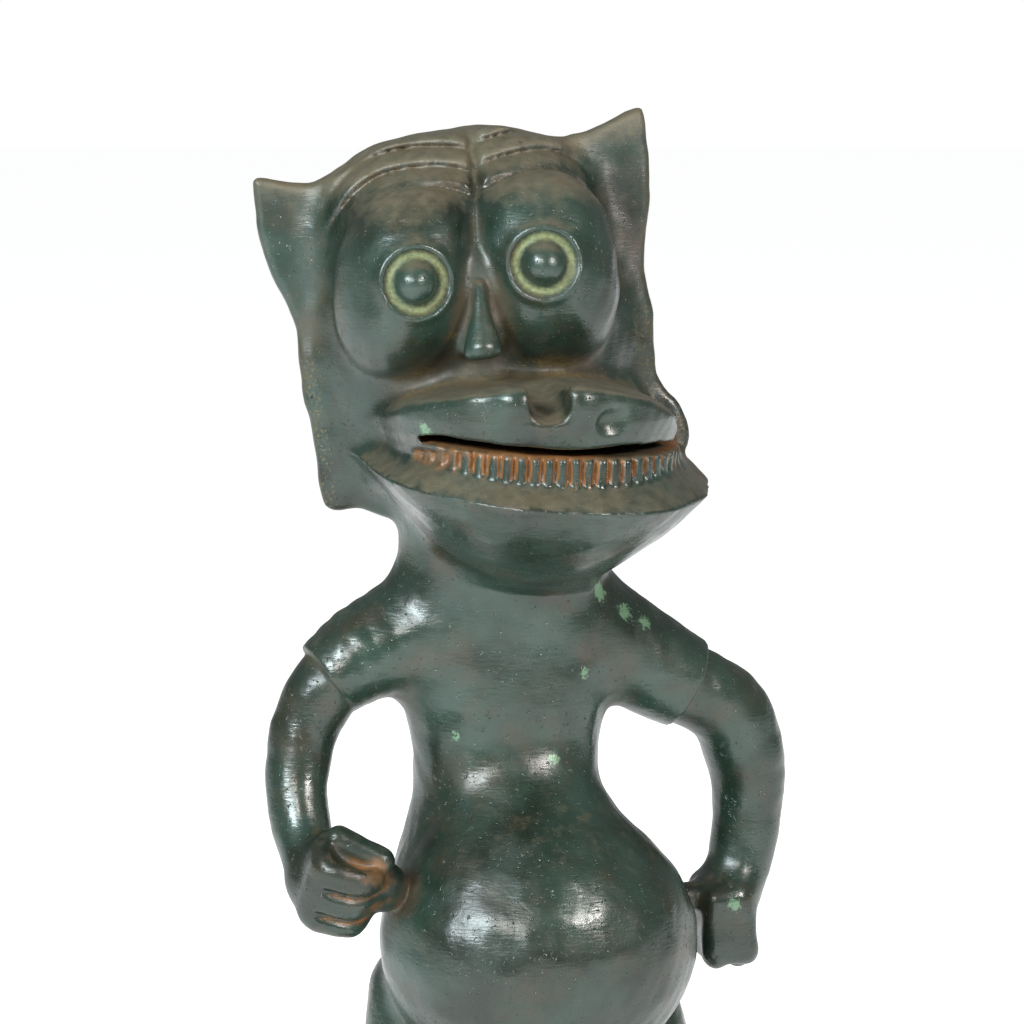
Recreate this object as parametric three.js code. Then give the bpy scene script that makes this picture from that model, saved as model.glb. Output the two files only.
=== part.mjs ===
// Ancestor figure: a small grotesque standing figure cast in bronze in one piece with its low plinth.
// Millimetres, +Z up. The figure faces -Y, and its right hand is on the -X side.
// The origin is the middle of the plinth's underside.
//
// The cast has no seams: limbs, lips and folds flow into each other. So each sub-part is a function
// that gives a point's distance from its surface (negative inside), soft joins blend the sub-parts,
// and one closed skin is drawn where the distance is zero.
import * as THREE from 'three';

// Driving sizes

const PLINTH = { width: 128, depth: 100, back: 4, height: 13, edge: 2.5, squareness: 3.2 };

// The trunk without its belly, level by level from the crotch to the root of the jaw:
// height, middle of the width, half width, depth in front of and behind the widest line
const TRUNK = [
  [84, 1, 32, 20, 26], // crotch
  [96, 1, 40, 24, 33],
  [110, 1, 40, 28, 36], // seat
  [130, 0, 35, 28, 34],
  [150, -4.5, 32, 27, 29],
  [165, -5, 30, 26.5, 27], // waist
  [190, -5.2, 30.5, 26.5, 25],
  [208, -6.5, 34.5, 27, 25],
  [226, -7.5, 37, 27, 26], // shoulders
  [256, -8, 33, 31, 27], // neck
  [275, -8, 33, 34, 30],
];
const BELLY = { at: [-0.5, -23, 128], radii: [51, 45, 45], blend: 18 };

// Stations along the limbs: x, y, z, radius
const THIGH = [[33, 4, 107, 19.5], [44, -12, 62, 16]];
const SHIN = [[44, -12, 62, 16], [41, -5, 42, 14], [37, 0, 22, 10.5]];
const FOOT = { at: [37, -12, 15], radii: [12.5, 26, 9.5], toes: 5, toePitch: 4.8, toeRadii: [3, 5.5, 3.4] };
const SLEEVE_LEFT = [[-14, 2, 232, 19], [-34, 1, 229, 18.5], [-52, 0, 223, 16], [-65, 0, 215, 13.6], [-75, 0, 207, 12]];
const SLEEVE_RIGHT = [[0, 2, 238, 18], [18, 1, 229.5, 19], [38, 0, 218, 17.3], [56, 0, 207.5, 15.4], [70, 0, 200, 14]];
const CUFF_LEFT = { at: [-65, 0, 214.8], outward: [-0.8, 0, -0.6] };
const CUFF_RIGHT = { at: [55, 0, 206], outward: [0.89, 0, -0.456] };
const ARM_LEFT = [
  [-58, 0, 219, 12], [-66, 0, 212, 12], [-72.8, 1, 199, 11.3],
  [-76, -3, 183.5, 9.8], [-76.4, -10, 169, 9.3], [-75, -20, 157, 9.4],
];
const ARM_RIGHT = [
  [48, 0, 210, 13], [62, 1, 205, 13], [75, 3, 196.5, 12.2], [81.2, 4, 180, 11.8],
  [81.2, 4, 165, 10.9], [78.2, 2, 148.5, 10.4], [74.5, 0, 136, 10], [71.8, -1, 124, 9.6],
];
const FIST = {
  halfWidth: 13.2, halfDepth: 11.5, halfHeight: 13.8, edge: 5, grooves: [4.5, -5], groove: 2.3, reach: 30,
  touch: { from: [5, 1, -2], to: [21, 5, -3], radius: 6 },
};
const HIP_HAND = { half: [9.4, 14.5, 14], edge: 6, grooves: [-6.5, 0.5, 7.5], groove: 1.6, reach: 26 };

// The head and muzzle, each in its own turned frame
const SKULL = { at: [0, 8, 10], radii: [48, 42, 46] };
const FACE = { at: [0, 6, -26], radii: [48, 38, 44] };
const HEAD_SQUARENESS = 3;
const HEAD_REACH = 90;
const EYE_BULGE = { at: [21.8, -22, 11], radii: [21.5, 27, 29] };
const EYE = { x: 19.8, z: 12.6, rim: 10.2, rimHeight: 2, ring: 7.6, ringDepth: 1.8, pupil: 6.2, pupilHeight: 3.4 };
const BROW = { halfWidth: 23.5, halfHeight: 29, squareness: 2.3, folds: 3, pitch: 0.2, height: 2.2 };
const NOSE = {
  top: [0, -41.5, 6], tip: [0, -47.5, -10], topRadius: 1.6, tipRadius: 6.2, underside: -13,
  root: { from: [0, -31, 8], to: [0, -34, -8], radius: 7 },
};
const EAR = { middle: 5, halfThickness: 3.4, shift: 2.2, lobeFlare: 7 };

const MUZZLE = { corner: -2, squareness: 2.3, reach: 90 };
// The jaw's bowl and the shelf over its rim: height over the rim, half width, depth in front
const JAW_BOWL = [
  [-40, 15, 14], [-35, 23, 31], [-30, 27.5, 42], [-25, 32, 52], [-19, 38, 62], [-12, 45, 71], [0, 56, 80.5],
];
const JAW_SHELF = [[0, 56, 80.5], [2.5, 53, 77], [8.5, 47, 69], [20, 45, 67]];
const JAW = { rim: -5.9, back: 24, bottom: -39, top: 13 };
const TEETH = { count: 35, halfWidth: 46.5, front: 71.9, middle: 1.2, halfHeight: 4.8, gap: 2.6 };
const LIP = { halfWidth: 51, front: 72, swell: 2.5, back: 26, top: 24.6, bottom: 5, cornerDrop: 15 };
const NOTCH = { from: [-1.8, -80, 18.6], to: [-3, -40, 31], radius: 5.9, backRadius: 8 };
const CURLS = [{ at: [-12, -71.5, 20], radii: [6, 5, 5] }, { at: [7.5, -71.5, 20], radii: [4.6, 6, 5.5] }];
const SCOOP = { at: [18.5, -74.5, 14.5], radii: [6.5, 4, 5] };
const MOUTH = { halfWidth: 46, reach: 90, bottom: 5.4, gap: 2.8, wideAt: 22, widening: 1.8 };
const THROAT = { at: [3, -28, 8], radii: [37, 36, 9] };

// The skin: spacing of the samples, the box they fill, and how many triangles are kept
const SKIN = { spacing: 1.3, low: [-92, -95, -3], high: [100, 60, 404], block: 8, triangles: 9400 };

// Frames: the head turns and leans to the figure's right, the muzzle stays nearly level

function frame(origin, { yaw = 0, roll = 0, pitch = 0 }) {
  const turn = new THREE.Euler(
    THREE.MathUtils.degToRad(pitch), THREE.MathUtils.degToRad(-roll), THREE.MathUtils.degToRad(yaw), 'ZYX',
  );
  return new THREE.Matrix4().makeRotationFromEuler(turn).setPosition(...origin);
}

const HEAD_FRAME = frame([-17, 2, 335], { yaw: -9.5, roll: 8.5 });
const LIP_FRAME = frame([-1.5, -5, 290], { yaw: -8 });
const TEETH_FRAME = frame([0.5, -5, 290], { yaw: -8, roll: -3.5, pitch: 1.5 });
const JAW_FRAME = frame([1.2, -5, 290], { yaw: -8, roll: -4, pitch: 4 });
const FIST_FRAME = frame([-68.5, -31, 154], { yaw: -6, roll: -17, pitch: 24 });
const HIP_HAND_FRAME = frame([71, -2, 126], { yaw: -6, roll: 5 });

// Joining: softness is the width over which two surfaces flow together

// Two surfaces further apart than this never flow together, except the belly and the trunk
const CLEAR = 12;
const clamp01 = (value) => Math.min(Math.max(value, 0), 1);
const softMin = (a, b, softness) => Math.min(a, b) - Math.max(softness - Math.abs(a - b), 0) ** 2 / (4 * softness);
const softMax = (a, b, softness) => -softMin(-a, -b, softness);
const bump = (value, width) => Math.exp(-((value / width) ** 2));

function blend(softness, ...parts) {
  return (p) => parts.reduce((distance, part) => softMin(distance, part(p), softness), Infinity);
}

function carve(softness, body, tool) {
  return (p) => softMax(body(p), -tool(p), softness);
}

// A part in a frame of its own. Past its reach, how far away it is will do.
function placed(matrix, reach, part) {
  const inverse = matrix.clone().invert();
  const local = new THREE.Vector3();
  return (p) => {
    const away = local.copy(p).applyMatrix4(inverse).length() - reach;
    return away > CLEAR ? away : part(local);
  };
}

// Shapes

function ball([x, y, z], [a, b, c]) {
  return (p) => {
    const [u, v, w] = [(p.x - x) / a, (p.y - y) / b, (p.z - z) / c];
    const scaled = Math.hypot(u, v, w);
    return (scaled * (scaled - 1)) / Math.max(Math.hypot(u / a, v / b, w / c), 1e-6);
  };
}

// A ball whose front outline fills its corners as squareness rises over 2
function squaredBall([x, y, z], [a, b, c], squareness) {
  return (p) => {
    const [u, v, w] = [Math.abs(p.x - x) / a, Math.abs(p.y - y) / b, Math.abs(p.z - z) / c];
    const sum = u ** squareness + w ** squareness;
    const scaled = Math.sqrt(sum ** (2 / squareness) + v * v);
    const slope = Math.max(sum, 1e-9) ** (2 / squareness - 1);
    const [gx, gz] = [(slope * u ** (squareness - 1)) / a, (slope * w ** (squareness - 1)) / c];
    return (scaled * (scaled - 1)) / Math.max(Math.hypot(gx, v / b, gz), 1e-6);
  };
}

// Distance in a level section from an oval with its own depth in front (-Y) and behind
function ovalDistance(x, y, half, front, back, squareness = 2) {
  const [u, v] = [Math.abs(x) / half, Math.abs(y) / (y < 0 ? front : back)];
  const depth = y < 0 ? front : back;
  const sum = Math.max(u ** squareness + v ** squareness, 1e-9);
  const scaled = sum ** (1 / squareness);
  const slope = Math.hypot(u ** (squareness - 1) / half, v ** (squareness - 1) / depth) * sum ** (1 / squareness - 1);
  return (scaled - 1) / Math.max(slope, 1e-6);
}

function rod(from, to, fromRadius, toRadius) {
  const line = new THREE.Line3(new THREE.Vector3(...from), new THREE.Vector3(...to));
  const nearest = new THREE.Vector3();
  return (p) => {
    const along = line.closestPointToPointParameter(p, true);
    return line.at(along, nearest).distanceTo(p) - THREE.MathUtils.lerp(fromRadius, toRadius, along);
  };
}

// A limb of changing radius through stations of x, y, z and radius
function limb(stations, steps = 3) {
  const path = new THREE.CatmullRomCurve3(stations.map(([x, y, z]) => new THREE.Vector3(x, y, z)));
  const radii = new THREE.SplineCurve(stations.map(([, , , radius], i) => new THREE.Vector2(i, radius)));
  const last = (stations.length - 1) * steps;
  const rods = Array.from({ length: last }, (_, k) => {
    const [a, b] = [k / last, (k + 1) / last];
    return rod(path.getPoint(a).toArray(), path.getPoint(b).toArray(), radii.getPoint(a).y, radii.getPoint(b).y);
  });
  const thickest = Math.max(...stations.map(([, , , radius]) => radius));
  const box = new THREE.Box3().setFromPoints(path.getPoints(last)).expandByScalar(thickest);
  return (p) => {
    const away = box.distanceToPoint(p);
    return away > CLEAR ? away : Math.min(...rods.map((part) => part(p)));
  };
}

// Reads rows of numbers as smooth curves over their first column
function profile(rows) {
  const slopes = rows.map((row, i) => {
    const [before, after] = [rows[Math.max(i - 1, 0)], rows[Math.min(i + 1, rows.length - 1)]];
    return row.map((_, c) => (after[c] - before[c]) / (after[0] - before[0]));
  });
  return (height) => {
    const at = THREE.MathUtils.clamp(height, rows[0][0], rows.at(-1)[0]);
    const i = Math.min(Math.max(rows.findIndex((row) => row[0] > at) - 1, 0), rows.length - 2);
    const k = at >= rows.at(-1)[0] ? rows.length - 2 : i;
    const gap = rows[k + 1][0] - rows[k][0];
    const t = (at - rows[k][0]) / gap;
    const [a, b] = [t * t * (3 - 2 * t), t * (1 - t)];
    return rows[k].map((value, c) => value * (1 - a) + rows[k + 1][c] * a
      + gap * b * ((1 - t) * slopes[k][c] - t * slopes[k + 1][c]));
  };
}

function between(low, high) {
  return (value) => Math.abs(value - (low + high) / 2) - (high - low) / 2;
}

// Plinth, legs and feet

function plinth() {
  const { width, depth, back, height, edge, squareness } = PLINTH;
  const slab = between(0, height);
  return (p) => {
    const outline = ovalDistance(p.x, p.y + back, width / 2, depth / 2, depth / 2, squareness);
    return Math.max(softMax(outline, slab(p.z), edge), -p.z);
  };
}

function leg(side) {
  const place = ([x, ...rest]) => [side * x + 1, ...rest];
  const { at, radii, toes, toePitch, toeRadii } = FOOT;
  const toe = (_, i) => {
    const across = i - (toes - 1) / 2;
    return ball([side * (at[0] + across * toePitch) + 1, -35 + Math.abs(across + 1) * 1.6, 13.5], toeRadii);
  };
  const foot = ball(place(at), radii);
  const limbs = blend(5, limb(THIGH.map(place)), limb(SHIN.map(place)));
  return blend(1.2, blend(6, limbs, foot), ...Array.from({ length: toes }, toe));
}

// Trunk, sleeves, arms and hands

function trunk() {
  const levels = profile(TRUNK);
  const height = between(83, 273);
  const core = (p) => {
    const [, middle, half, front, back] = levels(p.z);
    return softMax(ovalDistance(p.x - middle, p.y, half, front, back), height(p.z), 12);
  };
  return blend(BELLY.blend, core, ball(BELLY.at, BELLY.radii));
}

function sleeve(stations, cuff) {
  const body = limb(stations);
  const outward = new THREE.Vector3(...cuff.outward);
  const edge = outward.dot(new THREE.Vector3(...cuff.at));
  return (p) => softMax(body(p), outward.dot(p) - edge, 0.8);
}

// A fist closed round nothing: three finger rolls that touch the belly, a hole down its top and the thumb
// across it
function fist() {
  const { halfWidth, halfDepth, halfHeight, edge, grooves, groove } = FIST;
  const barrel = (p) => {
    const side = ovalDistance(p.x, p.y, halfWidth, halfDepth, halfDepth, 2.4);
    const fingers = grooves.reduce((sum, z) => sum + bump(p.z - z, 1.5), 0);
    const fade = clamp01((p.x + 9) / 5) * clamp01((6 - p.y) / 5);
    return softMax(side, Math.abs(p.z) - halfHeight, edge) + groove * fingers * fade;
  };
  const heel = rod([-7, 8, 6], [-10, 6, -7], 7.5, 6.5);
  const hole = ball([-1.8, -2.2, 15], [7.2, 5.2, 4.5]);
  const thumb = rod([-5, 6.2, 13], [9, 1.5, 12.6], 4.4, 4.2);
  const { touch } = FIST;
  const fingertips = rod(touch.from, touch.to, touch.radius, touch.radius);
  return placed(FIST_FRAME, FIST.reach, blend(1, carve(1.6, blend(5, barrel, heel, fingertips), hole), thumb));
}

// A flat hand on the hip, fingers down, with the thumb reaching to the belly
function hipHand() {
  const { half, edge, grooves, groove } = HIP_HAND;
  const palm = (p) => {
    const [u, v, w] = [Math.abs(p.x), Math.abs(p.y), Math.abs(p.z + 1)].map((value, i) => value - half[i] + edge);
    const block = Math.hypot(Math.max(u, 0), Math.max(v, 0), Math.max(w, 0)) + Math.min(Math.max(u, v, w), 0) - edge;
    const fingers = grooves.reduce((sum, y) => sum + bump(p.y - y, 1.3), 0);
    const fade = clamp01((p.x + 3) / 4) * clamp01((2 - p.z) / 5);
    return block + groove * fingers * fade;
  };
  return placed(HIP_HAND_FRAME, HIP_HAND.reach, blend(4, palm, rod([-4, -3, 10], [-17, -4, 9.5], 4.6, 4)));
}

// Head

// Rolls of skin over each eye bulge, meeting in a cleft at the middle of the brow
function browFolds(p) {
  const { halfWidth, halfHeight, squareness, folds, pitch, height } = BROW;
  const [u, v] = [(Math.abs(p.x) - EYE_BULGE.at[0]) / halfWidth, (p.z - EYE_BULGE.at[2]) / halfHeight];
  const radius = (Math.abs(u) ** squareness + Math.abs(v) ** squareness) ** (1 / squareness);
  const phase = (radius - 1) / pitch;
  const roll = Math.sqrt(Math.sin(Math.PI * phase) ** 2 + 0.03);
  const ends = clamp01(phase / 0.1) * clamp01((folds + 0.05 - phase) / 0.3) * clamp01((v / radius - 0.22) / 0.4);
  return height * roll * ends * clamp01(-p.y / 8);
}

function skull() {
  const mass = blend(14, squaredBall(SKULL.at, SKULL.radii, HEAD_SQUARENESS),
    squaredBall(FACE.at, FACE.radii, HEAD_SQUARENESS));
  return (p) => mass(p) - browFolds(p);
}

// The ear drawn from the front: a tall flap with a pointed tip, a wavy edge and a square lobe
function earOutline() {
  const outline = new THREE.Shape();
  outline.moveTo(34, 42);
  outline.quadraticCurveTo(50, 47, 62.4, 51.8);
  outline.splineThru([[64.4, 44], [64.4, 31], [61.8, 18.8], [58, 7], [57.4, -4], [58, -17], [56.6, -30], [56.4, -54]]
    .map(([x, z]) => new THREE.Vector2(x, z)));
  outline.quadraticCurveTo(55.5, -60, 49, -60);
  outline.lineTo(36, -57.5);
  outline.lineTo(28, -30);
  outline.lineTo(28, 20);
  return outline.getPoints(3);
}

function outlineDistance(points, x, z) {
  let nearest = Infinity;
  let inside = false;
  points.forEach((a, i) => {
    const b = points.at(i - 1);
    const [ex, ez, wx, wz] = [b.x - a.x, b.y - a.y, x - a.x, z - a.y];
    const t = clamp01((wx * ex + wz * ez) / Math.max(ex * ex + ez * ez, 1e-9));
    nearest = Math.min(nearest, Math.hypot(wx - ex * t, wz - ez * t));
    if ((a.y > z) !== (b.y > z) && x < a.x + (ex * (z - a.y)) / ez) inside = !inside;
  });
  return inside ? -nearest : nearest;
}

function ears() {
  const points = earOutline();
  const { middle, halfThickness, shift, lobeFlare } = EAR;
  return (p) => {
    const flare = p.x > 0 ? lobeFlare * clamp01((-30 - p.z) / 12) : 0;
    const plate = outlineDistance(points, Math.abs(p.x - shift) - flare, p.z);
    return softMax(plate, Math.abs(p.y - middle) - halfThickness, 3);
  };
}

// Egg-shaped bulges, each with a raised rim, a sunken ring and a domed pupil
function eyes() {
  const { x, z, rim, rimHeight, ring, ringDepth, pupil, pupilHeight } = EYE;
  const bulge = ball(EYE_BULGE.at, EYE_BULGE.radii);
  return (p) => {
    const mirrored = new THREE.Vector3(Math.abs(p.x), p.y, p.z);
    const radius = Math.hypot(mirrored.x - x, p.z - z);
    const dome = pupilHeight * Math.sqrt(Math.max(1 - (radius / pupil) ** 2, 0));
    const raised = rimHeight * bump(radius - rim, 1.9) - ringDepth * bump(radius - ring, 1.5) + dome;
    return bulge(mirrored) - (p.y < -30 ? raised : 0);
  };
}

function nose() {
  const { root } = NOSE;
  const bridge = rod(root.from, root.to, root.radius, root.radius);
  const wedge = blend(4, rod(NOSE.top, NOSE.tip, NOSE.topRadius, NOSE.tipRadius), bridge);
  return (p) => softMax(wedge(p), NOSE.underside - p.z, 1.2);
}

function head() {
  return placed(HEAD_FRAME, HEAD_REACH, blend(2.5, blend(2, blend(7, skull(), ears()), eyes()), nose()));
}

// Muzzle

function jaw() {
  const [bowl, shelf] = [profile(JAW_BOWL), profile(JAW_SHELF)];
  const height = between(JAW.bottom, JAW.top);
  return placed(JAW_FRAME, MUZZLE.reach, (p) => {
    const level = p.z - JAW.rim;
    const [, half, front] = level < 0 ? bowl(level) : shelf(level);
    const side = ovalDistance(p.x, p.y - MUZZLE.corner, half, front, JAW.back, MUZZLE.squareness);
    return softMax(side * 0.72, height(level), 2);
  });
}

// One row of small upright teeth round the front of the mouth
function teeth() {
  const { count, halfWidth, front, middle, halfHeight, gap } = TEETH;
  return placed(TEETH_FRAME, MUZZLE.reach, (p) => {
    const y = p.y - MUZZLE.corner;
    const side = ovalDistance(p.x, y, halfWidth, front, 20, MUZZLE.squareness);
    const turn = (Math.atan2(p.x / halfWidth, -y / front) / Math.PI) * count + 0.5;
    const fromTooth = Math.abs(turn - Math.floor(turn) - 0.5) * 2;
    const row = softMax(side + gap * clamp01((fromTooth - 0.5) / 0.4), Math.abs(p.z - middle) - halfHeight, 1.6);
    return softMax(row, p.y + 6, 1);
  });
}

// A thick band, arched on top and hanging down at both corners of the mouth
function lip() {
  const { halfWidth, front, swell, back, top, bottom, cornerDrop } = LIP;
  return (p) => {
    const x = Math.abs(p.x) / halfWidth;
    const rise = clamp01((p.z - 6) / 18);
    const side = ovalDistance(p.x, p.y - MUZZLE.corner, halfWidth + swell * rise * 0.6, front + swell * rise, back,
      MUZZLE.squareness);
    const over = p.z - (top - 8.4 * x ** 2 - 8.8 * x ** 8);
    const under = bottom - cornerDrop * clamp01((x - 0.784) / 0.176) ** 2 - p.z;
    return softMax(softMax(side, over * 0.85, 2.4), under * 0.8, 1.6);
  };
}

function upperLip() {
  const curls = CURLS.map(({ at, radii }) => ball(at, radii));
  const notch = rod(NOTCH.from, NOTCH.to, NOTCH.radius, NOTCH.backRadius);
  return placed(LIP_FRAME, MUZZLE.reach, carve(2, carve(2, blend(3, lip(), ...curls), notch), ball(SCOOP.at, SCOOP.radii)));
}

// The open mouth: a narrow slit, wider at the figure's left, and a hollow behind it
function mouth() {
  const { halfWidth, reach, bottom, gap, wideAt, widening } = MOUTH;
  const slit = (p) => {
    const height = gap + 1.3 * (p.x / 30) ** 2 + widening * bump(p.x - wideAt, 14);
    const top = bottom + height * clamp01(1 - Math.abs(p.x / halfWidth) ** 5);
    const plan = ovalDistance(p.x, p.y - MUZZLE.corner, halfWidth, reach, 20, MUZZLE.squareness);
    return softMax(plan, Math.max(p.z - top, bottom - p.z), 1);
  };
  return placed(TEETH_FRAME, MUZZLE.reach, blend(2, slit, ball(THROAT.at, THROAT.radii)));
}

function figure() {
  const lower = blend(3, blend(9, trunk(), leg(-1), leg(1)), plinth());
  const shoulders = blend(9, lower, sleeve(SLEEVE_LEFT, CUFF_LEFT), sleeve(SLEEVE_RIGHT, CUFF_RIGHT));
  const arms = blend(1.2, shoulders, limb(ARM_LEFT), limb(ARM_RIGHT));
  const body = blend(4, arms, fist(), hipHand());
  const muzzle = blend(2, jaw(), upperLip());
  return blend(0.8, carve(1, blend(6, body, blend(5, head(), muzzle)), mouth()), teeth());
}

// The skin

// Distances on a grid, worked out in full only in the blocks that the surface may cross
function sample(distance) {
  const { spacing, low, high, block } = SKIN;
  const blocks = low.map((value, i) => Math.ceil((high[i] - value) / (spacing * block)));
  const size = blocks.map((count) => count * block + 1);
  const values = new Float32Array(size[0] * size[1] * size[2]);
  const index = (i, j, k) => (i * size[1] + j) * size[2] + k;
  const point = new THREE.Vector3();
  const at = (i, j, k) => distance(point.set(low[0] + i * spacing, low[1] + j * spacing, low[2] + k * spacing));
  const reach = spacing * block * 1.25;
  for (let a = 0; a < blocks[0]; a += 1) {
    for (let b = 0; b < blocks[1]; b += 1) {
      for (let c = 0; c < blocks[2]; c += 1) {
        const corner = [a, b, c].map((value) => value * block);
        const middle = at(...corner.map((value) => value + block / 2));
        const crossed = Math.abs(middle) < reach;
        for (let i = corner[0]; i <= corner[0] + block; i += 1) {
          for (let j = corner[1]; j <= corner[1] + block; j += 1) {
            for (let k = corner[2]; k <= corner[2] + block; k += 1) {
              if (crossed) values[index(i, j, k)] = at(i, j, k);
              else if (values[index(i, j, k)] === 0) values[index(i, j, k)] = middle;
            }
          }
        }
      }
    }
  }
  return { values, size, index };
}

// Whether the inside or the outside of a cell's corners (the set and the clear bits of mask) meets itself
// only across a diagonal, so that the skin would meet itself too
function isPinched(mask) {
  const corners = [0, 1, 2, 3, 4, 5, 6, 7];
  const side = (corner) => (mask >> corner) & 1;
  return corners.some((a) => corners.some((b) => {
    const span = a ^ b;
    const isDiagonal = (span & (span - 1)) !== 0;
    const others = corners.filter((c) => c !== a && c !== b && (c & ~span) === (a & ~span));
    return isDiagonal && side(a) === side(b) && others.every((c) => side(c) !== side(a));
  }));
}

// Takes corners into the inside, the nearest to it first, until nothing is pinched
function fillPinches({ values, index }) {
  const pinched = Array.from({ length: 256 }, (_, mask) => isPinched(mask));
  const offsets = Array.from({ length: 8 }, (_, c) => index(c & 1, (c >> 1) & 1, c >> 2));
  for (let found = true; found;) {
    found = false;
    for (let at = 0; at < values.length - offsets[7]; at += 1) {
      const mask = offsets.reduce((bits, offset, c) => bits | ((values[at + offset] < 0) << c), 0);
      if (pinched[mask]) {
        const outside = offsets.map((offset) => at + offset).filter((corner) => values[corner] >= 0);
        const nearest = outside.reduce((a, b) => (values[a] < values[b] ? a : b));
        values[nearest] = -SKIN.spacing / 4;
        found = true;
      }
    }
  }
}

// One point for every cell that the surface crosses, at the mean of its crossings, and two
// triangles for every grid edge that it crosses
function skin({ values, size, index }) {
  const { spacing, low } = SKIN;
  const axes = [[1, 0, 0], [0, 1, 0], [0, 0, 1]];
  const value = (cell) => values[index(...cell)];
  const stepped = (cell, axis, by = 1) => cell.map((v, i) => v + by * axes[axis][i]);
  const points = [];
  const faces = [];
  const pointAt = new Map();

  const cellPoint = (cell) => {
    const key = index(...cell);
    if (!pointAt.has(key)) {
      const sum = new THREE.Vector3();
      let count = 0;
      for (let axis = 0; axis < 3; axis += 1) {
        const [u, v] = [(axis + 1) % 3, (axis + 2) % 3];
        for (const start of [cell, stepped(cell, u), stepped(cell, v), stepped(stepped(cell, u), v)]) {
          const [a, b] = [value(start), value(stepped(start, axis))];
          if ((a < 0) !== (b < 0)) {
            sum.add(new THREE.Vector3(...stepped(start, axis, a / (a - b))));
            count += 1;
          }
        }
      }
      pointAt.set(key, points.length);
      points.push(sum.multiplyScalar(spacing / count).add(new THREE.Vector3(...low)));
    }
    return pointAt.get(key);
  };

  for (let i = 1; i < size[0] - 1; i += 1) {
    for (let j = 1; j < size[1] - 1; j += 1) {
      for (let k = 1; k < size[2] - 1; k += 1) {
        const here = values[index(i, j, k)] < 0;
        for (let axis = 0; axis < 3; axis += 1) {
          if (here !== value(stepped([i, j, k], axis)) < 0) {
            const [u, v] = [(axis + 1) % 3, (axis + 2) % 3];
            const across = stepped([i, j, k], u, -1);
            const ring = [stepped(across, v, -1), stepped([i, j, k], v, -1), [i, j, k], across].map(cellPoint);
            if (!here) ring.reverse();
            faces.push([ring[0], ring[1], ring[2]], [ring[0], ring[2], ring[3]]);
          }
        }
      }
    }
  }
  return { points, faces };
}

// A queue that gives back its cheapest entry first
class CheapestFirst {
  entries = [];

  push(entry) {
    const { entries } = this;
    let at = entries.push(entry) - 1;
    while (at > 0 && entries[(at - 1) >> 1].cost > entry.cost) {
      entries[at] = entries[(at - 1) >> 1];
      at = (at - 1) >> 1;
    }
    entries[at] = entry;
  }

  pop() {
    const { entries } = this;
    const first = entries[0];
    const moved = entries.pop();
    if (!entries.length) return first;
    let at = 0;
    for (let child = 1; child < entries.length; child = 2 * at + 1) {
      if (child + 1 < entries.length && entries[child + 1].cost < entries[child].cost) child += 1;
      if (entries[child].cost >= moved.cost) break;
      entries[at] = entries[child];
      at = child;
    }
    entries[at] = moved;
    return first;
  }
}

// Squared distances to a set of planes, as the ten different numbers of a symmetric 4 x 4 matrix
function planeError(plane, weight) {
  const { normal: n, constant: d } = plane;
  return [n.x * n.x, n.x * n.y, n.x * n.z, n.x * d, n.y * n.y, n.y * n.z, n.y * d, n.z * n.z, n.z * d, d * d]
    .map((value) => value * weight);
}

function errorAt([xx, xy, xz, xd, yy, yz, yd, zz, zd, dd], { x, y, z }) {
  return x * (xx * x + 2 * (xy * y + xz * z + xd)) + y * (yy * y + 2 * (yz * z + yd)) + z * (zz * z + 2 * zd) + dd;
}

function bestPoint(error, a, b) {
  const [xx, xy, xz, xd, yy, yz, yd, zz, zd] = error;
  const matrix = new THREE.Matrix3().set(xx, xy, xz, xy, yy, yz, xz, yz, zz);
  const middle = a.clone().lerp(b, 0.5);
  const size = xx + yy + zz;
  if (Math.abs(matrix.determinant()) < 1e-4 * size ** 3) {
    return [middle, a, b].reduce((best, p) => (errorAt(error, p) < errorAt(error, best) ? p : best)).clone();
  }
  const best = new THREE.Vector3(-xd, -yd, -zd).applyMatrix3(matrix.invert());
  return best.distanceTo(middle) < 2 * a.distanceTo(b) ? best : middle;
}

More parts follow.
